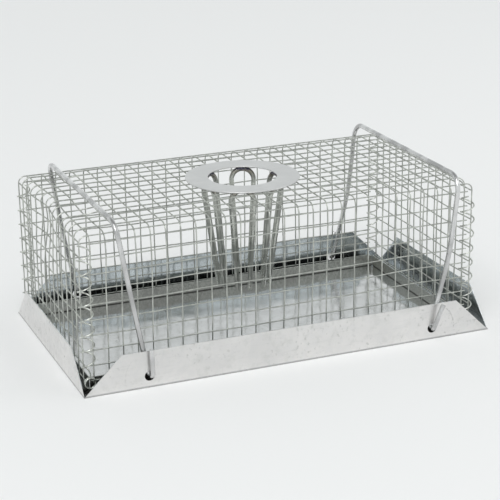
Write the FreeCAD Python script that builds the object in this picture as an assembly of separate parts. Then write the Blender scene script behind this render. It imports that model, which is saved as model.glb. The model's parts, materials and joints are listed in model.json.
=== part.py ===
"""Live catch trap: an open-mesh cage standing in a shallow sheet tray, held down by two wire bails.

Frame: millimetres, +Z up, X along the tray, Y from front to back. The origin is the centre of the
tray's underside. Every piece is written as its own STEP file in parts/.
"""
import FreeCAD
import Part
import math
import os

from FreeCAD import Vector

# Tray
TRAY_LENGTH = 363.0
TRAY_DEPTH = 204.0
SHEET = 0.8
FLAP_HEIGHT = 31.5
FLAP_MITRE = 32.0

# Locating rim on the tray floor, just inside the foot of the cage
RIM_LENGTH = 337.0
RIM_DEPTH = 174.0
RIM_HEIGHT = 10.0
RIM_FOOT = 7.0
RIM_CORNER_GAP = 0.1

# Cage mesh
MESH_PITCH = 12.7
MESH_WIRE = 1.1
WELD_GAP = 0.02
HOOP_COUNT = 27
LONG_WIRE_COUNT = 15
ROW_COUNT = 10
CAGE_SHIFT = -4.4
CAGE_LENGTH = 346.2
CAGE_DEPTH = 183.0
CAGE_TOP = 132.0
CAGE_FOOT = 2 * SHEET + 0.02  # the uprights stand on the feet of the rim strips
FIRST_ROW = 9.6
FOLD_RADIUS = 8.0
ROW_STUB = 2.5
LAYER = MESH_WIRE + WELD_GAP  # from the outer layer of crossing wires to the inner one

# Corner lacing
LACING_WIRE = 1.2
LACING_RADIUS = 5.6

# Entry funnel
RING_OUTER = 98.0
RING_HOLE = 59.0
RING_THICKNESS = 1.2
MESH_CUTOUT = 78.0
PRONG_COUNT = 6
PRONG_WIRE = 4.2
PRONG_TOP_RADIUS = 33.5
PRONG_TIP_RADIUS = 22.2
PRONG_TOP_SPREAD = 20.5
PRONG_TIP_SPREAD = 10.2
PRONG_TIP_HEIGHT = 39.0
FIRST_PRONG_ANGLE = 68.0

# Bails
BAIL_WIRE = 4.2
BAIL_HOLE = 8.4
BAIL_SPACING = 253.6
BAIL_PIVOT_HEIGHT = 10.0
BAIL_BEND = 14.0
LEG_BEND = 300.0
HOOK_LENGTH = 23.0
FLAP_CLEARANCE = 0.4

# Each bail is bent by hand, so the two differ. Angles are in degrees, outwards from upright.
# The left one needs at least 132.9 mm of reach to pass the cage's upper edge without springing.
LEFT_BAIL = {"lean": 9.6, "reach": 133.0, "half_width": 98.7, "bow": 0.5,
             "hook_turn": -7.5, "hook_stand_off": 0.5}
RIGHT_BAIL = {"lean": 10.3, "reach": 132.2, "half_width": 99.5, "bow": 5.0,
              "hook_turn": 6.5, "hook_stand_off": 4.0}

Y_AXIS = Vector(0, 1, 0)
Z_AXIS = Vector(0, 0, 1)


def save(shape, name):
    """Write one node, and stop if any of its solids is broken."""
    for solid in shape.Solids:
        if not solid.isValid() or solid.Volume <= 0:
            raise ValueError("bad solid in " + name)
    shape.exportStep("parts/" + name + ".step")


def rod(start, end, diameter):
    """A straight round wire between two points."""
    along = end - start
    return Part.makeCylinder(diameter / 2, along.Length, start, along)


def swept(path, start, direction, diameter):
    """A round wire swept along a smooth path that begins at start and heads in direction."""
    profile = Part.Wire(Part.makeCircle(diameter / 2, start, direction))
    return path.makePipeShell([profile], True, False)


def bent_path(points, radii):
    """A wire path through points, with each inner corner rounded to its own radius."""
    edges = []
    start = points[0]
    for before, corner, after, radius in zip(points, points[1:], points[2:], radii):
        incoming = (before - corner).normalize()
        outgoing = (after - corner).normalize()
        half = incoming.getAngle(outgoing) / 2
        setback = radius / math.tan(half)
        bisector = (incoming + outgoing).normalize()
        first = corner + incoming * setback
        last = corner + outgoing * setback
        middle = corner + bisector * (radius / math.sin(half) - radius)
        edges.append(Part.makeLine(start, first))
        edges.append(Part.Arc(first, middle, last).toShape())
        start = last
    edges.append(Part.makeLine(start, points[-1]))
    return Part.Wire(edges)


def bent_wire(points, radii, diameter):
    """A round wire that follows points with rounded bends."""
    return swept(bent_path(points, radii), points[0], points[1] - points[0], diameter)


# ---- Tray ----

def tray_flap(length):
    """One mitred flap standing on the line y = 0 from x = -length / 2, facing +Y."""
    half = length / 2
    outline = Part.makePolygon([
        Vector(-half, 0, 0),
        Vector(half, 0, 0),
        Vector(half - FLAP_MITRE, 0, FLAP_HEIGHT),
        Vector(-half + FLAP_MITRE, 0, FLAP_HEIGHT),
        Vector(-half, 0, 0),
    ])
    return Part.Face(outline).extrude(Vector(0, SHEET, 0))


def base_tray():
    """Floor with four flaps folded up from one sheet, mitred so that the corners stay open."""
    tray = Part.makeBox(
        TRAY_LENGTH, TRAY_DEPTH, SHEET, Vector(-TRAY_LENGTH / 2, -TRAY_DEPTH / 2, 0))
    for quarter in range(4):
        along_x = quarter % 2 == 0
        flap = tray_flap(TRAY_LENGTH if along_x else TRAY_DEPTH)
        flap.translate(Vector(0, -(TRAY_DEPTH if along_x else TRAY_LENGTH) / 2, 0))
        flap.rotate(Vector(0, 0, 0), Z_AXIS, 90 * quarter)
        tray = tray.fuse(flap)
    for side in (-1, 1):
        for end in (-1, 1):
            hole = Part.makeCylinder(
                BAIL_HOLE / 2, 6 * SHEET,
                Vector(side * BAIL_SPACING / 2, end * TRAY_DEPTH / 2 - 3 * SHEET, BAIL_PIVOT_HEIGHT),
                Y_AXIS)
            tray = tray.cut(hole)
    return tray.removeSplitter()


def rim_strip(length):
    """An angle strip along X: an upright on the line y = 0 and a mitred foot towards -Y."""
    half = length / 2
    upright = Part.makeBox(length, SHEET, RIM_HEIGHT, Vector(-half, 0, SHEET))
    foot = Part.Face(Part.makePolygon([
        Vector(-half, 0, SHEET),
        Vector(half, 0, SHEET),
        Vector(half + RIM_FOOT, -RIM_FOOT, SHEET),
        Vector(-half - RIM_FOOT, -RIM_FOOT, SHEET),
        Vector(-half, 0, SHEET),
    ])).extrude(Vector(0, 0, SHEET))
    return upright.fuse(foot).removeSplitter()


def rim_strips():
    """Four angle strips round the tray floor, named by side. The cage stands on their feet."""
    strips = {}
    for quarter, name in enumerate(("front", "right", "back", "left")):
        along_x = quarter % 2 == 0
        length = RIM_LENGTH if along_x else RIM_DEPTH
        strip = rim_strip(length - 2 * SHEET - 2 * RIM_CORNER_GAP)
        strip.translate(Vector(0, -(RIM_DEPTH if along_x else RIM_LENGTH) / 2, 0))
        strip.rotate(Vector(0, 0, 0), Z_AXIS, 90 * quarter)
        strip.translate(Vector(CAGE_SHIFT, 0, 0))
        strips[name] = strip
    return strips


# ---- Cage ----

def clear_of_entry(wire):
    """Cut a top wire where the entry ring covers the opening."""
    opening = Part.makeCylinder(
        MESH_CUTOUT / 2, 4 * FOLD_RADIUS, Vector(CAGE_SHIFT, 0, CAGE_TOP - 2 * FOLD_RADIUS))
    return wire.cut(opening).Solids


def hoop_places():
    """X of each hoop that runs over the cage from front to back."""
    middle = (HOOP_COUNT - 1) / 2
    return [CAGE_SHIFT + (i - middle) * MESH_PITCH for i in range(HOOP_COUNT)]


def long_wire_places():
    """Y of each wire that runs over the cage from end to end."""
    middle = (LONG_WIRE_COUNT - 1) / 2
    return [(i - middle) * MESH_PITCH for i in range(LONG_WIRE_COUNT)]


def row_heights():
    """Z of each horizontal wire round the four walls."""
    return [FIRST_ROW + i * MESH_PITCH for i in range(ROW_COUNT)]


def top_height(y):
    """Z of the outer layer of mesh over a place y: flat, then round the front and back folds."""
    past_fold = abs(y) - (CAGE_DEPTH / 2 - FOLD_RADIUS)
    if past_fold <= 0:
        return CAGE_TOP
    return CAGE_TOP - FOLD_RADIUS + math.sqrt(FOLD_RADIUS ** 2 - past_fold ** 2)


def cross_hoops():
    """Wires that rise up the front, cross the top and go down the back, on the inner side."""
    half = CAGE_DEPTH / 2 - LAYER
    top = CAGE_TOP - LAYER
    hoops = []
    for x in hoop_places():
        points = [
            Vector(x, -half, CAGE_FOOT),
            Vector(x, -half, top),
            Vector(x, half, top),
            Vector(x, half, CAGE_FOOT),
        ]
        folds = [FOLD_RADIUS - LAYER] * 2
        hoops += clear_of_entry(bent_wire(points, folds, MESH_WIRE))
    return Part.makeCompound(hoops)


def long_wires():
    """Wires that rise up the left end, run along the top and go down the right end, outside."""
    half = CAGE_LENGTH / 2
    wires = []
    for y in long_wire_places():
        top = top_height(y)
        points = [
            Vector(CAGE_SHIFT - half, y, CAGE_FOOT),
            Vector(CAGE_SHIFT - half, y, top),
            Vector(CAGE_SHIFT + half, y, top),
            Vector(CAGE_SHIFT + half, y, CAGE_FOOT),
        ]
        folds = [FOLD_RADIUS - (CAGE_TOP - top)] * 2
        wires += clear_of_entry(bent_wire(points, folds, MESH_WIRE))
    return Part.makeCompound(wires)


def side_rows(side):
    """Horizontal wires of the front (side = -1) or back (side = 1) wall, on the outer side."""
    half = (HOOP_COUNT - 1) / 2 * MESH_PITCH + ROW_STUB
    y = side * CAGE_DEPTH / 2
    return Part.makeCompound([
        rod(Vector(CAGE_SHIFT - half, y, z), Vector(CAGE_SHIFT + half, y, z), MESH_WIRE)
        for z in row_heights()
    ])


def end_rows(end):
    """Horizontal wires of the left (end = -1) or right (end = 1) wall, on the inner side."""
    half = (LONG_WIRE_COUNT - 1) / 2 * MESH_PITCH + MESH_WIRE / 2
    x = CAGE_SHIFT + end * (CAGE_LENGTH / 2 - LAYER)
    return Part.makeCompound([
        rod(Vector(x, -half, z), Vector(x, half, z), MESH_WIRE) for z in row_heights()
    ])


def corner_lacing(end, side):
    """A spiral wound round the last upright of each of two walls, one turn to each row above the rim."""
    upright_x = CAGE_SHIFT + end * (HOOP_COUNT - 1) / 2 * MESH_PITCH
    upright_y = side * (LONG_WIRE_COUNT - 1) / 2 * MESH_PITCH
    wall_x = CAGE_SHIFT + end * CAGE_LENGTH / 2
    wall_y = side * (CAGE_DEPTH / 2 - LAYER)
    centre = Vector((upright_x + wall_x) / 2, (upright_y + wall_y) / 2, FIRST_ROW + MESH_PITCH / 2)
    turns = ROW_COUNT - 1.75
    helix = Part.makeHelix(MESH_PITCH, turns * MESH_PITCH, LACING_RADIUS)
    start = Vector(LACING_RADIUS, 0, 0)
    slope = Vector(0, 2 * math.pi * LACING_RADIUS, MESH_PITCH)
    spiral = swept(Part.Wire(helix.Edges), start, slope, LACING_WIRE)
    # Every turn is midway between two rows where it is deepest inside the cage.
    spiral.rotate(Vector(0, 0, 0), Z_AXIS, math.degrees(math.atan2(-side, -end)))
    spiral.translate(centre)
    return spiral


# ---- Entry funnel ----

def entry_ring():
    """Flat ring lying on the top mesh round the entry."""
    base = Vector(CAGE_SHIFT, 0, CAGE_TOP + MESH_WIRE / 2 + WELD_GAP)
    disc = Part.makeCylinder(RING_OUTER / 2, RING_THICKNESS, base)
    hole = Part.makeCylinder(RING_HOLE / 2, RING_THICKNESS, base)
    return disc.cut(hole)


def funnel_prong(angle):
    """A hairpin of heavy wire, arched at the ring, whose two legs slope in towards the entry axis."""
    crown = CAGE_TOP + MESH_WIRE / 2 - PRONG_WIRE / 2
    arch = PRONG_TOP_SPREAD / 2
    top_out = Vector(PRONG_TOP_RADIUS, -arch, crown)
    tip_out = Vector(PRONG_TIP_RADIUS, -PRONG_TIP_SPREAD / 2, PRONG_TIP_HEIGHT)
    leg = tip_out - top_out
    shoulder = top_out + leg * (arch / leg.Length)
    far_tip = Vector(tip_out.x, -tip_out.y, tip_out.z)
    far_shoulder = Vector(shoulder.x, -shoulder.y, shoulder.z)
    first = Part.makeLine(tip_out, shoulder)
    over = Part.Arc(shoulder, Vector(PRONG_TOP_RADIUS, 0, crown), far_shoulder).toShape()
    last = Part.makeLine(far_shoulder, far_tip)
    prong = swept(Part.Wire([first, over, last]), tip_out, shoulder - tip_out, PRONG_WIRE)
    prong.rotate(Vector(0, 0, 0), Z_AXIS, angle)
    prong.translate(Vector(CAGE_SHIFT, 0, 0))
    return prong


# ---- Bails ----

def bail(end, lean, reach, half_width, bow, hook_turn, hook_stand_off):
    """A wire hoop over the cage whose hooked feet turn in the holes of the front and back flaps."""
    leg_y = TRAY_DEPTH / 2 - SHEET - FLAP_CLEARANCE - BAIL_WIRE / 2
    hook_y = TRAY_DEPTH / 2 + FLAP_CLEARANCE + BAIL_WIRE / 2
    hook_angle = math.radians(hook_turn)
    # One half, drawn upright on the pivot axis with +X outwards, from the hook to the top corner.
    front = [
        Vector(HOOK_LENGTH * math.sin(hook_angle), -hook_y - hook_stand_off,
               HOOK_LENGTH * math.cos(hook_angle)),
        Vector(0, -hook_y, 0),
        Vector(0, -leg_y, 0),
        Vector(bow, -(leg_y + half_width) / 2, reach / 2),
        Vector(0, -half_width, reach),
    ]
    back = [Vector(point.x, -point.y, point.z) for point in reversed(front)]
    # Just under half the foot's width, so that a short straight lies in the flap's hole.
    foot_bend = 0.48 * (hook_y - leg_y)
    bends = [foot_bend, foot_bend, LEG_BEND, BAIL_BEND]
    wire = bent_wire(front + back, bends + bends[::-1], BAIL_WIRE)
    if end < 0:
        wire = wire.mirror(Vector(0, 0, 0), Vector(1, 0, 0))
    wire.rotate(Vector(0, 0, 0), Y_AXIS, end * lean)
    wire.translate(Vector(end * BAIL_SPACING / 2, 0, BAIL_PIVOT_HEIGHT))
    return wire


def main():
    os.makedirs("parts", exist_ok=True)
    save(base_tray(), "base_tray")
    for name, strip in rim_strips().items():
        save(strip, "rim_strip_" + name)
    save(cross_hoops(), "cross_hoops")
    save(long_wires(), "long_wires")
    for side, name in ((-1, "front"), (1, "back")):
        save(side_rows(side), name + "_row_wires")
    for end, name in ((-1, "left"), (1, "right")):
        save(end_rows(end), name + "_row_wires")
    for end, end_name in ((-1, "left"), (1, "right")):
        for side, side_name in ((-1, "front"), (1, "back")):
            save(corner_lacing(end, side), "corner_lacing_" + side_name + "_" + end_name)
    save(entry_ring(), "entry_ring")
    for number in range(PRONG_COUNT):
        angle = FIRST_PRONG_ANGLE + number * 360 / PRONG_COUNT
        save(funnel_prong(angle), "funnel_prong_" + str(number + 1))
    save(bail(-1, **LEFT_BAIL), "left_bail")
    save(bail(1, **RIGHT_BAIL), "right_bail")


main()
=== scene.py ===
"""Looks for the live catch trap: worn galvanised sheet and wire, hand-made mesh, stage, light and camera.

Metres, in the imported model's frame: +Z up, X along the tray, Y from front to back.
"""
import json
import math

import bpy
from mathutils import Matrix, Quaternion, Vector, noise


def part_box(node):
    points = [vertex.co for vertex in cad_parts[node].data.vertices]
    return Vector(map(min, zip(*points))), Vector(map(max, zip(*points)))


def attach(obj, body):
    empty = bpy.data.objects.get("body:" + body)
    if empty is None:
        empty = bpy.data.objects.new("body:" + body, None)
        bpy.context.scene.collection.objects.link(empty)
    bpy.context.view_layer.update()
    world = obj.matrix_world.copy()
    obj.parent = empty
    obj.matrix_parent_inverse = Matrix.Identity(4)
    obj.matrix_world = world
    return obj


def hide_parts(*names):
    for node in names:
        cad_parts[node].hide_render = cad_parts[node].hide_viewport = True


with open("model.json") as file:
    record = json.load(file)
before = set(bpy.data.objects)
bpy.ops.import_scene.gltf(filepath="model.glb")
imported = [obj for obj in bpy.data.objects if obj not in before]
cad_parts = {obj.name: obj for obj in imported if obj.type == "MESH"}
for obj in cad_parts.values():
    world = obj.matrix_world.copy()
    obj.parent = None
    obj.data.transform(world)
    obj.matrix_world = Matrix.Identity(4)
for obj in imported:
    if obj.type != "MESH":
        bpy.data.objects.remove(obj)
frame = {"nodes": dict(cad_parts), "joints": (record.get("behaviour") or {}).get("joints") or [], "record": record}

MM = 0.001
NOISE_SEED = 6
noise.seed_set(NOISE_SEED)  # without it, noise_vector differs from run to run
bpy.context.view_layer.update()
SLOT_OF = {part["node"]: part["material_slot"] for part in frame["record"]["subparts"]}

# Cage mesh, worked out from the CAD wires
TRAY_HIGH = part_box("base_tray")[1]
HOOPS_LOW, HOOPS_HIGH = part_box("cross_hoops")
LONG_LOW, LONG_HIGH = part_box("long_wires")
ROWS_LOW, ROWS_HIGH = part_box("front_row_wires")
RING_LOW, RING_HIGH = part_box("entry_ring")
WIRE = ROWS_HIGH.y - ROWS_LOW.y  # diameter of the mesh wire
HOOP_COUNT = 27
LONG_WIRE_COUNT = 15
ROW_COUNT = 10
FOLD_RADIUS = 8.0 * MM
MESH_CUTOUT = 39.0 * MM
FOOT_Z = HOOPS_LOW.z
CAGE_CENTRE_X = (RING_LOW.x + RING_HIGH.x) / 2
HALF_LENGTH = (LONG_HIGH.x - LONG_LOW.x - WIRE) / 2
HALF_DEPTH = (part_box("back_row_wires")[1].y - ROWS_LOW.y - WIRE) / 2
CAGE_TOP = LONG_HIGH.z - WIRE / 2
LAYER = CAGE_TOP + WIRE / 2 - HOOPS_HIGH.z  # how far the hoops lie inside the long wires and rows

# Tray, worked out from the CAD sheet and joints
RIM_LOW = Vector((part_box("rim_strip_left")[0].x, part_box("rim_strip_front")[0].y, 0))
RIM_HIGH = Vector((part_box("rim_strip_right")[1].x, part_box("rim_strip_back")[1].y, 0))
RIM_FOOT = 7.0 * MM
HINGE = Vector(next(j["pos_m"] for j in frame["joints"] if j["name"] == "right_bail_swing"))
SHEET = 0.8 * MM
SKIN = 0.4 * MM  # a place this far inside a sheet's outer face counts as part of that face
SCRATCH_RADIUS = 20.5 * MM
END_CHANNEL_SHADE = 0.15  # how dark the painted shade in the channels at the two ends is, beside that in the channels at the front and back


def evenly(first, last, count):
    """count values from first to last, evenly spaced."""
    return [first + (last - first) * i / (count - 1) for i in range(count)]


HOOP_X = evenly(HOOPS_LOW.x + WIRE / 2, HOOPS_HIGH.x - WIRE / 2, HOOP_COUNT)
LONG_Y = evenly(LONG_LOW.y + WIRE / 2, LONG_HIGH.y - WIRE / 2, LONG_WIRE_COUNT)
ROW_Z = evenly(ROWS_LOW.z + WIRE / 2, ROWS_HIGH.z - WIRE / 2, ROW_COUNT)

# Hand-made irregularity of the mesh
STEP = 4.0 * MM  # between two points of a wire
PANEL_BULGE = 1.1 * MM
PANEL_SCALE = 75.0 * MM
WIRE_WANDER = 0.55 * MM
WANDER_SCALE = 38.0 * MM
STIFF_EDGE = 30.0 * MM  # how far the folds keep a panel from bulging
# Knocks the mesh has taken: where, how far they reach, and the push at their middle
KNOCKS = [
    (Vector((-168, -34, 129)) * MM, 20 * MM, Vector((3.0, 5.0, -4.0)) * MM),
    (Vector((-172, 14, 112)) * MM, 24 * MM, Vector((4.0, -2.0, 1.0)) * MM),
    (Vector((-150, 62, 132)) * MM, 16 * MM, Vector((0.0, 2.5, -2.5)) * MM),
    (Vector((-166, -86, 118)) * MM, 18 * MM, Vector((2.5, 3.0, -2.0)) * MM),
    (Vector((120, -90, 60)) * MM, 34 * MM, Vector((0.0, 2.0, 0.5)) * MM),
    (Vector((60, 20, 132)) * MM, 30 * MM, Vector((0.0, 0.5, -2.0)) * MM),
]
WELD_SIZE = 0.8 * MM

# How finely round wires are divided: Blender makes four times one more than this many sides.
THIN_WIRE_SIDES = 2
HEAVY_WIRE_SIDES = 5

# The left bail as bent by hand. Angles are in degrees.
BAIL_WIRE = 4.2 * MM
BAIL_LEAN = 9.6
BAIL_REACH = 130.2 * MM
BAIL_HALF_WIDTH = 94.6 * MM
BAIL_BEND = 14.0 * MM
LEG_BOW = -0.6 * MM
LEG_BOW_AT = 0.45  # how far up the leg it bows most
LEG_BEND = 250.0 * MM
HOOK_LENGTH = 23.0 * MM
HOOK_TURN = 7.5
HOOK_STAND_OFF = 0.5 * MM
HOOK_SHIFT = 1.9 * MM  # the hook is bent a little towards the tray's middle

# Corner lacings
LACING_WIRE = 1.2 * MM
LACING_TURNS = 8.25
EYE_MIDDLE = Vector((-173.8, -93.7, 9.0)) * MM
EYE_RADIUS = 4.6 * MM
EYE_TURNS = 2.3
EYE_STEPS = 36
BRIDGE_PULL = 6.0 * MM  # how strongly the eye's wire keeps its heading on its way to the spiral

# Welds between the prongs and the ring
CROWN_RADIUS = 35.2 * MM
BEAD_LENGTH = 3.2 * MM
BEAD_WIDTH = 1.3 * MM
BEAD_HEIGHT = 0.9 * MM


# ---- Node helpers ----

def add(tree, kind, inputs=None, **settings):
    """Add a shader node, set its properties, and set or link its inputs."""
    node = tree.nodes.new("ShaderNode" + kind)
    for key, value in settings.items():
        setattr(node, key, value)
    for key, value in (inputs or {}).items():
        if isinstance(value, bpy.types.NodeSocket):
            tree.links.new(value, node.inputs[key])
        else:
            node.inputs[key].default_value = value
    return node


def math_node(tree, operation, *values):
    """The result of a math operation on sockets or numbers."""
    return add(tree, "Math", dict(enumerate(values)), operation=operation).outputs[0]


def minus(tree, first, second):
    """first less second."""
    return math_node(tree, "SUBTRACT", first, second)


def absolute(tree, value):
    """value without its sign."""
    return math_node(tree, "ABSOLUTE", value)


def larger(tree, first, second):
    """The larger of two values."""
    return math_node(tree, "MAXIMUM", first, second)


def is_over(tree, value, limit):
    """1 where value is over the limit."""
    return math_node(tree, "GREATER_THAN", value, limit)


def is_under(tree, value, limit):
    """1 where value is under the limit."""
    return math_node(tree, "LESS_THAN", value, limit)


def remap(tree, value, low, high, to_low=0.0, to_high=1.0):
    """value moved from low..high to to_low..to_high, smoothly and clamped."""
    inputs = {"Value": value, "From Min": low, "From Max": high, "To Min": to_low, "To Max": to_high}
    return add(tree, "MapRange", inputs, interpolation_type="SMOOTHSTEP").outputs["Result"]


def stretched(tree, scale):
    """Object coordinates multiplied by a scale along each axis."""
    place = add(tree, "TexCoord").outputs["Object"]
    return add(tree, "Mapping", {"Vector": place, "Scale": scale}).outputs["Vector"]


def cloud(tree, size, detail=3.0, stretch=(1, 1, 1)):
    """Noise from 0 to 1 whose patches are about size metres across."""
    inputs = {"Vector": stretched(tree, stretch), "Scale": 1 / size, "Detail": detail}
    return add(tree, "TexNoise", inputs).outputs["Fac"]


def crystals(tree, size):
    """A random value from 0 to 1 for each crystal of a zinc coat, about size metres across."""
    wobble = add(tree, "TexNoise", {"Vector": stretched(tree, (1, 1, 1)), "Scale": 0.6 / size})
    shifted = add(tree, "VectorMath", {0: wobble.outputs["Color"], "Scale": size}, operation="SCALE")
    place = add(tree, "VectorMath", {0: stretched(tree, (1, 1, 1)), 1: shifted.outputs[0]})
    cells = add(tree, "TexVoronoi", {"Vector": place.outputs[0], "Scale": 1 / size})
    return add(tree, "SeparateColor", {"Color": cells.outputs["Color"]}).outputs[0]


def specks(tree, size, share):
    """1 in sparse dots of about size metres, which cover about the given share of the surface."""
    place = stretched(tree, (1, 1, 1))
    dots = add(tree, "TexVoronoi", {"Vector": place, "Scale": 0.35 / size})
    chosen = add(tree, "SeparateColor", {"Color": dots.outputs["Color"]}).outputs[1]
    near = remap(tree, dots.outputs["Distance"], 0.10, 0.22, 1.0, 0.0)
    rare = remap(tree, chosen, 1 - share - 0.02, 1 - share)
    return times(tree, near, rare)


def edge_wear_and_highlight(tree, radius, grain):
    """1 along sharp edges, broken up by noise, 0 on flat faces. The tray uses it for worn edges, the rim strips
    and ring for painted highlights.
    """
    rounded = add(tree, "Bevel", {"Radius": radius}, samples=6).outputs["Normal"]
    flat = add(tree, "NewGeometry").outputs["Normal"]
    alike = add(tree, "VectorMath", {0: rounded, 1: flat}, operation="DOT_PRODUCT").outputs["Value"]
    edge = remap(tree, alike, 0.995, 0.86)
    return times(tree, edge, remap(tree, cloud(tree, grain), 0.35, 0.6))


def mix(tree, share, first, second):
    """A colour between first and second."""
    inputs = {0: share, 6: first, 7: second}
    return add(tree, "Mix", inputs, data_type="RGBA").outputs[2]


def coated(tree, colour, layers):
    """colour under several layers, each with the share of it that shows and its own colour."""
    for share, layer in layers:
        colour = mix(tree, share, colour, layer)
    return colour


def grey(level, warm=0.0):
    """A linear colour of a given level, tinted warmer or, below zero, bluer."""
    return (level * (1 + warm), level, level * (1 - warm), 1.0)


def zinc(level):
    """The faintly green grey of old zinc."""
    return (level * 0.975, level, level * 0.935, 1.0)


def add_up(tree, *values):
    """The sum of several sockets or numbers."""
    total = values[0]
    for value in values[1:]:
        total = math_node(tree, "ADD", total, value)
    return total


def times(tree, *values):
    """The product of several sockets or numbers."""
    total = values[0]
    for value in values[1:]:
        total = math_node(tree, "MULTIPLY", total, value)
    return total


def position(tree):
    """The three coordinates of a place on the piece, as sockets."""
    return add(tree, "SeparateXYZ", {"Vector": stretched(tree, (1, 1, 1))}).outputs


def metal(tree, colour, roughness, height, bump):
    """Join colour, roughness and a height of 0 to 1 into a metal surface. bump is in metres."""
    shape = add(tree, "Bump", {"Height": height, "Distance": bump})
    surface = add(tree, "BsdfPrincipled", {
        "Base Color": colour,
        "Metallic": 1.0,
        "Roughness": roughness,
        "Normal": shape.outputs["Normal"],
    })
    output = add(tree, "OutputMaterial")
    tree.links.new(surface.outputs[0], output.inputs["Surface"])


def new_material(name):
    """An empty node material and its tree."""
    material = bpy.data.materials.new(name + "_look")
    material.use_nodes = True
    material.node_tree.nodes.clear()
    return material, material.node_tree


# ---- Materials ----

def within_flaps(tree):
    """1 everywhere but on the outsides of the tray's flaps."""
    x, y = position(tree)[:2]
    in_x = is_under(tree, absolute(tree, x), TRAY_HIGH.x - SKIN)
    in_y = is_under(tree, absolute(tree, y), TRAY_HIGH.y - SKIN)
    return times(tree, in_x, in_y)


def channel_painted_shade(tree):
    """Painted shade: 1 down in the channel between the rim strips and the flaps, fading out near its top.

    The channels at the two ends, and the corners at the right end, get less of this painted shade.
    """
    x, y, z = position(tree)
    foot = RIM_FOOT + SKIN
    from_middle = absolute(tree, minus(tree, x, CAGE_CENTRE_X))
    past_x = is_over(tree, from_middle, (RIM_HIGH.x - RIM_LOW.x) / 2 - foot)
    past_y = is_over(tree, absolute(tree, y), RIM_HIGH.y - foot)
    before_right_end = is_under(tree, x, RIM_HIGH.x - foot)
    outside_rim = larger(tree, times(tree, past_x, END_CHANNEL_SHADE), times(tree, past_y, before_right_end))
    ragged_height = add_up(tree, z, times(tree, cloud(tree, 6 * MM), 2 * MM))
    low = remap(tree, ragged_height, 6 * MM, 10 * MM, 1.0, 0.0)
    above_floor = is_over(tree, z, SKIN)
    return times(tree, outside_rim, within_flaps(tree), low, above_floor)


def hook_scratches(tree):
    """1 along the arc that each bail's hook has scraped on the outside of its flap."""
    x, y, z = position(tree)
    outwards = minus(tree, absolute(tree, x), HINGE.x)
    up = minus(tree, z, HINGE.z)
    squares = add_up(tree, times(tree, outwards, outwards), times(tree, up, up))
    from_hinge = math_node(tree, "SQRT", squares)
    ragged = times(tree, cloud(tree, 5 * MM), 1.2 * MM)
    away = minus(tree, add_up(tree, from_hinge, ragged), SCRATCH_RADIUS + 0.6 * MM)
    line = remap(tree, absolute(tree, away), 0.25 * MM, 0.75 * MM, 1.0, 0.0)
    begun = remap(tree, outwards, 11 * MM, 15 * MM)
    over_foot = remap(tree, up, -5 * MM, -1 * MM)
    outer_face = is_over(tree, absolute(tree, y), TRAY_HIGH.y - SKIN)
    broken = remap(tree, cloud(tree, 2.5 * MM), 0.36, 0.56)
    used_more = remap(tree, x, -50 * MM, 50 * MM, 0.3, 1.0)
    return times(tree, line, begun, over_foot, outer_face, broken, used_more)


def tray_colour(tree, outer, on_floor, spangle, streaks, handled, stains):
    """Grey zinc, dimmer on the floor and with a painted pale blue sheen inside the flaps, then marks, wear, a
    darker line along the foot of the flaps' outsides, and painted shade down in the channels on it.
    """
    patches = cloud(tree, 45 * MM)
    smudges = times(tree, remap(tree, cloud(tree, 3.2 * MM, 5.0), 0.55, 0.70),
                    remap(tree, cloud(tree, 26 * MM), 0.42, 0.62))
    low_edge = remap(tree, position(tree)[2], 0.5 * MM, 1.8 * MM, 1.0, 0.0)
    inner = times(tree, minus(tree, 1.0, outer), minus(tree, 1.0, on_floor))
    zinc_coat = mix(tree, remap(tree, patches, 0.3, 0.7), grey(0.735, 0.012), grey(0.815, 0.014))
    return coated(tree, zinc_coat, [
        (times(tree, on_floor, 0.7), grey(0.56, -0.012)),
        # Painted pale blue sheen on the insides of the flaps.
        (times(tree, inner, 0.85), (0.87, 0.94, 0.98, 1.0)),
        (remap(tree, spangle, 0, 1, 0, 0.12), grey(0.62, -0.02)),
        (remap(tree, streaks, 0.55, 0.75, 0, 0.10), grey(0.52)),
        (remap(tree, handled, 0.52, 0.70, 0, 0.16), zinc(0.50)),
        (times(tree, smudges, 0.38), zinc(0.36)),
        (times(tree, stains, 0.55), grey(0.24, 0.04)),
        (times(tree, low_edge, outer, 0.5), grey(0.20, 0.04)),
        (times(tree, hook_scratches(tree), 0.55), grey(0.36, 0.02)),
        (times(tree, edge_wear_and_highlight(tree, 0.8 * MM, 9 * MM), 0.55), grey(0.36, 0.03)),
        # Painted shade, nearly black, down in the channel between the rim strips and the flaps.
        (times(tree, channel_painted_shade(tree), 0.93), grey(0.03, 0.05)),
    ])


def tray_sheet():
    """Bright galvanised sheet: mirror floor, matt outside, faint crystals, stains and scratches."""
    material, tree = new_material("tray_sheet")
    outer = minus(tree, 1.0, within_flaps(tree))
    on_floor = remap(tree, position(tree)[2], 1.0 * MM, 2.0 * MM, 1.0, 0.0)
    spangle = crystals(tree, 4.5 * MM)
    grain = cloud(tree, 0.8 * MM, 2.0)
    waves = cloud(tree, 24 * MM, 1.0)
    streaks = cloud(tree, 2.0 * MM, 2.0, (0.06, 1, 1))
    handled = cloud(tree, 7 * MM, 4.0)
    stains = larger(tree, specks(tree, 1.9 * MM, 0.06), specks(tree, 1.1 * MM, 0.07))
    colour = tray_colour(tree, outer, on_floor, spangle, streaks, handled, stains)
    # The floor has kept its rolled shine. The flaps are duller from handling.
    shine = remap(tree, on_floor, 0.0, 1.0, 0.15, 0.09)
    roughness = add_up(tree, shine, times(tree, outer, 0.16), remap(tree, handled, 0.4, 0.7, 0.0, 0.10),
                       remap(tree, spangle, 0, 1, -0.01, 0.02), times(tree, stains, 0.25))
    height = add_up(tree, times(tree, grain, 0.05), times(tree, streaks, 0.05), times(tree, waves, 1.4))
    metal(tree, colour, roughness, height, 0.25 * MM)
    return material


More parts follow.
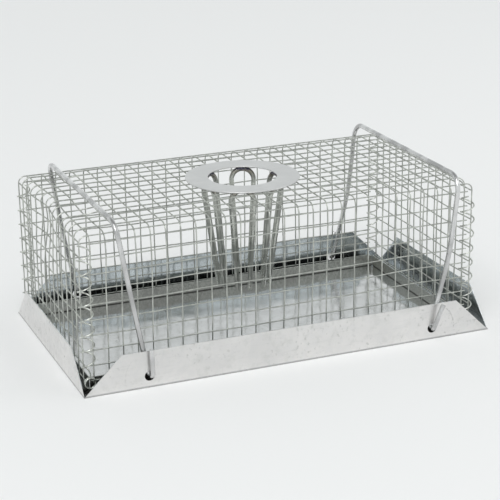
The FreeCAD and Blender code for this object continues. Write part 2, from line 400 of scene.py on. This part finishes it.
def rim_sheet():
    """Dull, speckled galvanised sheet, with a painted highlight along its edges, a painted shadow line along its
    foot, and painted shade, nearly black, down in the channel.
    """
    material, tree = new_material("rim_sheet")
    speckle = cloud(tree, 1.5 * MM, 3.0)
    patches = cloud(tree, 22 * MM)
    # A painted shadow line along the foot of the rim strips.
    foot_shadow_line = remap(tree, position(tree)[2], 1.0 * MM, 2.2 * MM, 0.75, 0.0)
    # Painted shade down in the channel, joined with the painted shadow line along the foot.
    channel_and_foot_shade = larger(tree, times(tree, channel_painted_shade(tree), 0.94), foot_shadow_line)
    zinc_coat = mix(tree, remap(tree, speckle, 0.35, 0.65), zinc(0.36), zinc(0.54))
    colour = coated(tree, zinc_coat, [
        (remap(tree, patches, 0.35, 0.7, 0, 0.5), grey(0.34, 0.03)),
        # Painted highlight along the rim strips' edges.
        (times(tree, edge_wear_and_highlight(tree, 0.8 * MM, 9 * MM), 0.9), grey(0.80)),
        (channel_and_foot_shade, grey(0.03, 0.05)),
    ])
    roughness = add_up(tree, remap(tree, speckle, 0.3, 0.7, 0.34, 0.50), times(tree, channel_and_foot_shade, 0.3))
    metal(tree, colour, roughness, speckle, 0.04 * MM)
    return material


def ring_sheet():
    """Satin plated sheet, with a painted highlight along its edges and painted shade on their lower part."""
    material, tree = new_material("ring_sheet")
    patches = cloud(tree, 18 * MM)
    grain = cloud(tree, 0.8 * MM, 2.0)
    scuffs = cloud(tree, 2.0 * MM, 3.0, (0.15, 1, 1))
    # Painted shade on the lower part of the edge, below the painted highlight.
    ragged_height = add_up(tree, position(tree)[2], times(tree, cloud(tree, 5 * MM), 1.0 * MM))
    edge_underside_shade = remap(tree, ragged_height, RING_LOW.z + 0.1 * MM, RING_LOW.z + 0.75 * MM, 0.8, 0.0)
    plating = mix(tree, remap(tree, patches, 0.3, 0.7), grey(0.70, 0.002), grey(0.77, 0.002))
    colour = coated(tree, plating, [
        (remap(tree, scuffs, 0.58, 0.72, 0, 0.22), grey(0.50)),
        # Painted highlight along the ring's edges.
        (edge_wear_and_highlight(tree, 0.5 * MM, 5 * MM), grey(0.88)),
        (edge_underside_shade, grey(0.10, 0.04)),
    ])
    roughness = remap(tree, patches, 0.3, 0.7, 0.44, 0.52)
    metal(tree, colour, roughness, grain, 0.012 * MM)
    return material


def drawn_wire(name, light, dark, rough, streak, mottle):
    """Plated wire with streaks along it and darker mottling. streak and mottle are sizes in metres."""
    material, tree = new_material(name)
    lines = cloud(tree, streak, 3.0, (1, 1, 0.07))
    blotches = cloud(tree, mottle, 3.0, (1, 1, 0.5))
    grain = cloud(tree, 0.5 * MM, 2.0)
    plating = mix(tree, remap(tree, blotches, 0.38, 0.62), dark, light)
    colour = coated(tree, plating, [
        (remap(tree, lines, 0.5, 0.72, 0, 0.45), dark),
        (times(tree, specks(tree, 0.9 * MM, 0.05), 0.6), grey(0.16, 0.06)),
    ])
    roughness = remap(tree, blotches, 0.3, 0.7, rough + 0.1, rough - 0.04)
    metal(tree, colour, roughness, add_up(tree, grain, lines), 0.03 * MM)
    return material


def scorched_prong():
    """Heavy plated wire, streaked along its length and blued by the weld at its crown."""
    material = drawn_wire("prong_wire", zinc(0.60), zinc(0.35), 0.28, 1.1 * MM, 9 * MM)
    tree = material.node_tree
    surface = next(n for n in tree.nodes if n.type == "BSDF_PRINCIPLED")
    plain = surface.inputs["Base Color"].links[0].from_socket
    ragged_height = add_up(tree, position(tree)[2], times(tree, cloud(tree, 3 * MM), 4 * MM))
    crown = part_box("funnel_prong_1")[1].z
    straw = remap(tree, ragged_height, crown - 7 * MM, crown - 1.5 * MM, 0.0, 0.55)
    blue = remap(tree, ragged_height, crown - 2.5 * MM, crown + 0.5 * MM, 0.0, 0.9)
    tinted = coated(tree, plain, [
        (straw, (0.26, 0.21, 0.15, 1.0)),
        (blue, (0.05, 0.05, 0.09, 1.0)),
    ])
    tree.links.new(tinted, surface.inputs["Base Color"])
    return material


LOOKS = {
    "tray_sheet": tray_sheet(),
    "rim_sheet": rim_sheet(),
    "ring_sheet": ring_sheet(),
    "prong_wire": scorched_prong(),
    "bail_wire": drawn_wire("bail_wire", grey(0.70), grey(0.46), 0.20, 1.4 * MM, 14 * MM),
    "mesh_wire": drawn_wire("mesh_wire", zinc(0.62), zinc(0.44), 0.34, 1.0 * MM, 6 * MM),
    "lacing_wire": drawn_wire("lacing_wire", zinc(0.74), zinc(0.50), 0.30, 1.0 * MM, 5 * MM),
}


# ---- Carried-over CAD nodes ----

def dress_nodes():
    """Give each CAD node its look, and round the sharp edges of sheet and wire ends."""
    for name, node in frame["nodes"].items():
        for slot in node.material_slots:
            slot.material = LOOKS[SLOT_OF[name]]
    for name in ("base_tray", "entry_ring", "rim_strip_front", "rim_strip_back",
                 "rim_strip_left", "rim_strip_right", "right_bail"):
        round_edges(frame["nodes"][name], 0.3 * MM)


def round_edges(node, width):
    """Round a CAD node's sharp edges with modifiers, which leave its own mesh as it is."""
    join = node.modifiers.new("join", "WELD")
    join.merge_threshold = 0.001 * MM
    bevel = node.modifiers.new("edges", "BEVEL")
    bevel.width = width
    bevel.segments = 2
    bevel.limit_method = "ANGLE"
    bevel.angle_limit = math.radians(40)
    bevel.harden_normals = True


# ---- Left bail ----

def rounded(corners, radii, steps=10):
    """Points along a path whose inner corners are rounded to the given radii."""
    points = [corners[0]]
    for before, corner, after, radius in zip(corners, corners[1:], corners[2:], radii):
        first = (before - corner).normalized()
        last = (after - corner).normalized()
        half = first.angle(last) / 2
        centre = corner + (first + last).normalized() * (radius / math.sin(half))
        start = corner + first * (radius / math.tan(half)) - centre
        end = corner + last * (radius / math.tan(half)) - centre
        for i in range(steps + 1):
            points.append(centre + start.slerp(end, i / steps).normalized() * radius)
    return points + [corners[-1]]


def left_bail():
    """The left bail as it was bent: drawn in at the top, and sprung down behind the cage's edge."""
    hook_tip = -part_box("left_bail")[0].y - BAIL_WIRE / 2
    hook_y = hook_tip - HOOK_STAND_OFF
    leg_y = 2 * TRAY_HIGH.y - SHEET - hook_y
    turn = math.radians(HOOK_TURN)
    front = [
        Vector((HOOK_SHIFT + HOOK_LENGTH * math.sin(turn), -hook_tip, HOOK_LENGTH * math.cos(turn))),
        Vector((HOOK_SHIFT, -hook_y, 0)),
        Vector((0, -leg_y, 0)),
        Vector((LEG_BOW, -leg_y, BAIL_REACH * LEG_BOW_AT)),
        Vector((0, -BAIL_HALF_WIDTH, BAIL_REACH)),
    ]
    back = [Vector((point.x, -point.y, point.z)) for point in reversed(front)]
    foot_bend = 0.48 * (hook_y - leg_y)
    bends = [foot_bend, foot_bend, LEG_BEND, BAIL_BEND]
    lean = Quaternion((0, 1, 0), math.radians(-BAIL_LEAN))
    pivot = Vector((-HINGE.x, 0, HINGE.z))
    path = [pivot + lean @ point for point in rounded(front + back, bends + bends[::-1])]
    wire_piece("left_bail_wire", [path], BAIL_WIRE, "bail_wire", "left_bail", "left_bail")


# ---- Cage mesh ----

def stiffness(point):
    """0 at the folds, the foot and the entry ring, rising to 1 in the middle of a panel."""
    from_ring = math.hypot(point.x - CAGE_CENTRE_X, point.y) - (RING_HIGH.x - RING_LOW.x) / 2
    in_x = HALF_LENGTH - abs(point.x - CAGE_CENTRE_X)
    in_y = HALF_DEPTH - abs(point.y)
    in_z = CAGE_TOP - point.z
    # On any panel the smallest of these is the distance through it, which is about 0.
    along = sorted((in_x, in_y, in_z))[1]
    reach = min(along, point.z - FOOT_Z + STIFF_EDGE / 2)
    if in_z < FOLD_RADIUS:
        reach = min(reach, from_ring)
    share = max(0.0, min(1.0, reach / STIFF_EDGE))
    return share * share * (3 - 2 * share)


def bulge(point):
    """How far the whole mesh is pushed out of true at a point."""
    push = noise.noise_vector(point / PANEL_SCALE) * PANEL_BULGE * stiffness(point)
    for middle, reach, knock in KNOCKS:
        push = push + knock * math.exp(-((point - middle).length / reach) ** 2)
    return push


def wander(point, across, number):
    """How far one wire strays from its place, across its own line and within the panel."""
    place = point / WANDER_SCALE + Vector((17.3, 5.1, 9.7)) * (number + 1)
    return across * noise.noise(place) * WIRE_WANDER * stiffness(point)


def bent(point, across, number):
    """A point of a wire, moved to where the used mesh really has it."""
    return point + bulge(point) + wander(point, across, number)


def straight(start, end):
    """Points from start to end, STEP apart, without the last one."""
    count = max(1, math.ceil((end - start).length / STEP))
    return [start.lerp(end, i / count) for i in range(count)]


def arc(corner, before, after, radius, count=6):
    """Points round a square corner, from the side before to the side after."""
    first = (before - corner).normalized() * radius
    last = (after - corner).normalized() * radius
    centre = corner + first + last
    points = []
    for i in range(count):
        turn = math.pi / 2 * i / count
        points.append(centre - last * math.cos(turn) - first * math.sin(turn))
    return points


def arch(low_start, high_start, high_end, low_end, radius):
    """Points up one wall, round a fold, across the top, round a fold and down the other wall."""
    up = (high_start - low_start).normalized() * radius
    over = (high_end - high_start).normalized() * radius
    return (
        straight(low_start, high_start - up)
        + arc(high_start, low_start, high_end, radius)
        + straight(high_start + over, high_end - over)
        + arc(high_end, high_start, low_end, radius)
        + straight(high_end - up, low_end)
        + [low_end]
    )


def outside_entry(points):
    """Split a path where the entry funnel's opening is cut out of the top."""
    paths = [[]]
    for point in points:
        over_entry = point.z > CAGE_TOP - FOLD_RADIUS
        if over_entry and math.hypot(point.x - CAGE_CENTRE_X, point.y) < MESH_CUTOUT:
            if paths[-1]:
                paths.append([])
        else:
            paths[-1].append(point)
    return [path for path in paths if len(path) > 1]


def wire_piece(name, paths, diameter, slot, body, stands_for):
    """Round wires along paths, as one piece that stands for a CAD node."""
    curve = bpy.data.curves.new(name, "CURVE")
    curve.dimensions = "3D"
    curve.bevel_depth = diameter / 2
    curve.bevel_resolution = THIN_WIRE_SIDES if diameter < 2 * MM else HEAVY_WIRE_SIDES
    curve.use_fill_caps = True
    for path in paths:
        spline = curve.splines.new("POLY")
        spline.points.add(len(path) - 1)
        for place, point in zip(spline.points, path):
            place.co = (*point, 1.0)
    piece = bpy.data.objects.new(name, curve)
    bpy.context.scene.collection.objects.link(piece)
    curve.materials.append(LOOKS[slot])
    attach(piece, body)
    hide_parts(stands_for)
    return piece


def mesh_piece(name, points, faces, slot, body):
    """A smooth-shaded mesh that rides on a body."""
    mesh = bpy.data.meshes.new(name)
    mesh.from_pydata(points, [], faces)
    mesh.shade_smooth()
    mesh.materials.append(LOOKS[slot])
    piece = bpy.data.objects.new(name, mesh)
    bpy.context.scene.collection.objects.link(piece)
    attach(piece, body)
    return piece


def top_height(y):
    """Height of the outer layer of mesh over a place y: flat, then round the folds."""
    past_fold = abs(y) - (HALF_DEPTH - FOLD_RADIUS)
    if past_fold <= 0:
        return CAGE_TOP
    return CAGE_TOP - FOLD_RADIUS + math.sqrt(FOLD_RADIUS ** 2 - past_fold ** 2)


def hoops():
    """Wires up the front, across the top and down the back."""
    depth = HALF_DEPTH - LAYER
    top = CAGE_TOP - LAYER
    paths = []
    for number, x in enumerate(HOOP_X):
        points = arch(
            Vector((x, -depth, FOOT_Z)), Vector((x, -depth, top)),
            Vector((x, depth, top)), Vector((x, depth, FOOT_Z)), FOLD_RADIUS - LAYER)
        for path in outside_entry(points):
            paths.append([bent(point, Vector((1, 0, 0)), number) for point in path])
    return wire_piece("hoop_wires", paths, WIRE, "mesh_wire", "cage", "cross_hoops")


def long_wires():
    """Wires up the left end, along the top and down the right end."""
    left = CAGE_CENTRE_X - HALF_LENGTH
    right = CAGE_CENTRE_X + HALF_LENGTH
    paths = []
    for number, y in enumerate(LONG_Y):
        top = top_height(y)
        points = arch(
            Vector((left, y, FOOT_Z)), Vector((left, y, top)),
            Vector((right, y, top)), Vector((right, y, FOOT_Z)), FOLD_RADIUS - (CAGE_TOP - top))
        for path in outside_entry(points):
            paths.append([bent(point, Vector((0, 1, 0)), number + HOOP_COUNT) for point in path])
    return wire_piece("lengthwise_wires", paths, WIRE, "mesh_wire", "cage", "long_wires")


def rows(name, node):
    """The horizontal wires of one wall."""
    low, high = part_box(node)
    along_x = high.x - low.x > high.y - low.y
    middle = (low + high) / 2
    paths = []
    for number, z in enumerate(ROW_Z):
        if along_x:
            start = Vector((low.x, middle.y, z))
            end = Vector((high.x, middle.y, z))
        else:
            start = Vector((middle.x, low.y, z))
            end = Vector((middle.x, high.y, z))
        points = straight(start, end) + [end]
        seed = number + HOOP_COUNT + LONG_WIRE_COUNT
        paths.append([bent(point, Vector((0, 0, 1)), seed) for point in points])
    return wire_piece(name, paths, WIRE, "mesh_wire", "cage", node)


def weld_places():
    """Each crossing of two wires, midway between their layers, and the direction across the panel."""
    half_layer = LAYER / 2
    places = []
    for z in ROW_Z:
        for side in (-1, 1):
            for x in HOOP_X:
                places.append((Vector((x, side * (HALF_DEPTH - half_layer), z)), Vector((0, 1, 0))))
            for y in LONG_Y:
                x = CAGE_CENTRE_X + side * (HALF_LENGTH - half_layer)
                places.append((Vector((x, y, z)), Vector((1, 0, 0))))
    for x in HOOP_X:
        for y in LONG_Y:
            flat = abs(y) < HALF_DEPTH - FOLD_RADIUS
            if flat and math.hypot(x - CAGE_CENTRE_X, y) > MESH_CUTOUT:
                places.append((Vector((x, y, CAGE_TOP - half_layer)), Vector((0, 0, 1))))
    return places


def weld_lump(place, across, size, base):
    """The points and faces of one six-sided lump. base is the number of its first point."""
    first = across.orthogonal().normalized()
    second = across.cross(first)
    points = []
    faces = []
    for level, width in ((-0.8, 0.6), (0.0, 1.0), (0.8, 0.6)):
        for turn in range(6):
            angle = turn * math.pi / 3
            spread = first * math.cos(angle) + second * math.sin(angle)
            points.append(place + (across * level * 0.7 + spread * width) * size)
    for level in (0, 6):
        for turn in range(6):
            low = base + level + turn
            beside = base + level + (turn + 1) % 6
            faces.append((low, beside, beside + 6, low + 6))
    faces.append(tuple(base + turn for turn in reversed(range(6))))
    faces.append(tuple(base + 12 + turn for turn in range(6)))
    return points, faces


def welds():
    """The flattened lumps of zinc and weld metal that join the two layers of wire."""
    points = []
    faces = []
    for number, (place, across) in enumerate(weld_places()):
        size = WELD_SIZE * (1 + 0.25 * noise.noise(Vector((number * 0.71, 0.3, 0.7))))
        lump_points, lump_faces = weld_lump(place + bulge(place), across, size, len(points))
        points += lump_points
        faces += lump_faces
    return mesh_piece("mesh_welds", points, faces, "mesh_wire", "cage")


def build_mesh():
    hoops()
    long_wires()
    for wall in ("front", "back", "left", "right"):
        rows(wall + "_rows", wall + "_row_wires")
    welds()


# ---- Lacings and funnel welds ----

def eye(middle, radius):
    """A coiled loop in an upright plane near middle, which ends at its top, heading along +X."""
    points = []
    for i in range(EYE_STEPS):
        turn = -2 * math.pi * EYE_TURNS * (1 - i / (EYE_STEPS - 1))
        drift = LACING_WIRE * 0.35 * turn / math.pi
        points.append(middle + Vector((math.sin(turn), 0, math.cos(turn))) * radius
                      + Vector((0, drift, 0)))
    return points


def spiral(name, number):
    """The uneven turns of one corner lacing, from near the foot of the cage to its top."""
    low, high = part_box(name)
    middle = (low + high) / 2
    radius = (high.x - low.x - LACING_WIRE) / 2
    inwards = math.atan2(-middle.y, CAGE_CENTRE_X - middle.x)
    bottom = low.z + LACING_WIRE / 2
    rise = high.z - low.z - LACING_WIRE
    points = []
    count = int(LACING_TURNS * 20)
    for i in range(count + 1):
        share = i / count
        place = Vector((share * 9, number * 7.7, 0.4))
        turn = inwards + 2 * math.pi * LACING_TURNS * share + 0.35 * noise.noise(place)
        reach = radius * (1 + 0.13 * noise.noise(place * 1.7))
        points.append(Vector((
            middle.x + reach * math.cos(turn),
            middle.y + reach * math.sin(turn),
            bottom + rise * share)))
    return points


def joined(start, heading, end, onward, count=8):
    """Points of a smooth curve between two places, with the directions it leaves and arrives in."""
    points = []
    for i in range(1, count):
        t = i / count
        points.append(
            start * (2 * t ** 3 - 3 * t ** 2 + 1) + heading * (t ** 3 - 2 * t ** 2 + t)
            + end * (3 * t ** 2 - 2 * t ** 3) + onward * (t ** 3 - t ** 2))
    return points


def build_lacings():
    """The four corner lacings. The front left one ends in an eye that faces forwards."""
    corners = ("front_left", "front_right", "back_left", "back_right")
    for number, corner in enumerate(corners):
        path = spiral("corner_lacing_" + corner, number)
        if corner == "front_left":
            path = path[4:]
            loop = eye(EYE_MIDDLE, EYE_RADIUS)
            heading = Vector((BRIDGE_PULL, 0, 0))
            bridge = joined(loop[-1], heading, path[0], (path[1] - path[0]) * 6)
            path = loop + bridge + path
        wire_piece("lacing_" + corner, [path], LACING_WIRE, "lacing_wire", "cage",
                   "corner_lacing_" + corner)


def weld_bead(name, place, along, seed):
    """A small lump of weld metal on the crown of a prong, under the ring."""
    points = []
    faces = []
    rings, turns = 7, 12
    across = Vector((-along.y, along.x, 0))
    for level in range(rings):
        tilt = math.pi * (level + 0.5) / rings
        for turn in range(turns):
            angle = 2 * math.pi * turn / turns
            lump = 1 + 0.3 * noise.noise(Vector((level * 0.8, math.sin(angle) * 2, seed * 3.1)))
            points.append(
                place
                + along * math.cos(tilt) * BEAD_LENGTH * lump
                + across * math.sin(tilt) * math.cos(angle) * BEAD_WIDTH * lump
                + Vector((0, 0, math.sin(tilt) * math.sin(angle) * BEAD_HEIGHT * lump)))
    for level in range(rings - 1):
        for turn in range(turns):
            low = level * turns + turn
            beside = level * turns + (turn + 1) % turns
            faces.append((low, beside, beside + turns, low + turns))
    faces.append(tuple(reversed(range(turns))))
    faces.append(tuple((rings - 1) * turns + turn for turn in range(turns)))
    return mesh_piece(name, points, faces, "prong_wire", "cage")


def build_beads():
    """One weld on the crown of each prong, just under the ring."""
    for number in range(1, 7):
        low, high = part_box("funnel_prong_" + str(number))
        outwards = Vector(((low.x + high.x) / 2 - CAGE_CENTRE_X, (low.y + high.y) / 2, 0)).normalized()
        along = Vector((-outwards.y, outwards.x, 0))
        crown = Vector((CAGE_CENTRE_X, 0, RING_LOW.z - BEAD_HEIGHT)) + outwards * CROWN_RADIUS
        weld_bead("prong_weld_" + str(number), crown, along, number)


# ---- Stage, light and camera ----

FLOOR_SIZE = 40.0
WALL_LIGHT = 0.90
CEILING_LIGHT = 0.42
WALL_COLOUR = (0.965, 1.0, 1.0, 1.0)
DIM_WALL = Vector((-0.36, 0.88, 0.30)).normalized()  # the way to the dimmer wall, behind and to the left
DIM_WALL_SHARE = 0.90
SUN_STRENGTH = 0.95
SUN_WAY = Vector((0.35, 0.55, -1.0))


def matt_material(name, colour):
    """A plain matt material."""
    material, tree = new_material(name)
    surface = add(tree, "BsdfPrincipled", {"Base Color": colour, "Roughness": 0.9})
    output = add(tree, "OutputMaterial")
    tree.links.new(surface.outputs[0], output.inputs["Surface"])
    return material


def floor():
    """A wide pale floor just under the tray."""
    mesh = bpy.data.meshes.new("studio_floor")
    half = FLOOR_SIZE / 2
    corners = [(-half, -half, 0), (half, -half, 0), (half, half, 0), (-half, half, 0)]
    mesh.from_pydata(corners, [], [(0, 1, 2, 3)])
    piece = bpy.data.objects.new("studio_floor", mesh)
    mesh.materials.append(matt_material("studio_floor", grey(0.86)))
    bpy.context.scene.collection.objects.link(piece)


def softbox(name, place, size, power, target=Vector((0, 0, 0.05))):
    """A square area light that faces the trap."""
    light = bpy.data.lights.new(name, "AREA")
    light.size = size
    light.energy = power
    piece = bpy.data.objects.new(name, light)
    piece.location = place
    piece.rotation_euler = (target - Vector(place)).to_track_quat("-Z", "Y").to_euler()
    bpy.context.scene.collection.objects.link(piece)


def sun():
    """A very wide, soft sun for the even light on the floor."""
    light = bpy.data.lights.new("wide_sun", "SUN")
    light.energy = SUN_STRENGTH
    light.angle = math.radians(40)
    piece = bpy.data.objects.new("wide_sun", light)
    piece.rotation_euler = SUN_WAY.to_track_quat("-Z", "Y").to_euler()
    bpy.context.scene.collection.objects.link(piece)


def sky():
    """Studio walls that are bright low down, dim overhead, and a little dim behind the trap to the left."""
    world = bpy.data.worlds.new("studio")
    bpy.context.scene.world = world
    world.use_nodes = True
    tree = world.node_tree
    tree.nodes.clear()
    place = add(tree, "TexCoord").outputs["Generated"]
    upward = add(tree, "SeparateXYZ", {"Vector": place}).outputs["Z"]
    level = remap(tree, upward, 0.40, 0.85, WALL_LIGHT, CEILING_LIGHT)
    towards = add(tree, "VectorMath", {0: place, 1: DIM_WALL}, operation="DOT_PRODUCT")
    shade = remap(tree, towards.outputs["Value"], 0.86, 0.97, 1.0, DIM_WALL_SHARE)
    strength = times(tree, level, shade)
    background = add(tree, "Background", {"Color": WALL_COLOUR, "Strength": strength})
    output = add(tree, "OutputWorld")
    tree.links.new(background.outputs[0], output.inputs["Surface"])


CAMERA_PLACE = Vector((-0.4985, -1.2352, 0.5240))
CAMERA_YAW = math.radians(21.98)
CAMERA_PITCH = math.radians(-18.88)
CAMERA_ROLL = math.radians(-0.717)
CAMERA_LENS = 116.9
CAMERA_SHIFT = (0.0038, -0.0053)


def camera():
    """The camera stands in front of the left end and looks down at the trap."""
    lens = bpy.data.cameras.new("camera")
    lens.lens = CAMERA_LENS
    lens.shift_x, lens.shift_y = CAMERA_SHIFT
    piece = bpy.data.objects.new("camera", lens)
    forward = Vector((
        math.sin(CAMERA_YAW) * math.cos(CAMERA_PITCH),
        math.cos(CAMERA_YAW) * math.cos(CAMERA_PITCH),
        math.sin(CAMERA_PITCH)))
    piece.location = CAMERA_PLACE
    piece.rotation_mode = "QUATERNION"
    piece.rotation_quaternion = (
        forward.to_track_quat("-Z", "Y") @ Quaternion((0, 0, 1), CAMERA_ROLL))
    bpy.context.scene.collection.objects.link(piece)
    bpy.context.scene.camera = piece


def stage():
    floor()
    sky()
    sun()
    softbox("key_light", (-1.2, -1.6, 2.2), 0.9, 12)
    softbox("fill_light", (1.8, -0.6, 1.6), 1.2, 6)
    camera()
    bpy.context.scene.view_settings.view_transform = "Standard"


dress_nodes()
left_bail()
build_mesh()
build_lacings()
build_beads()
stage()
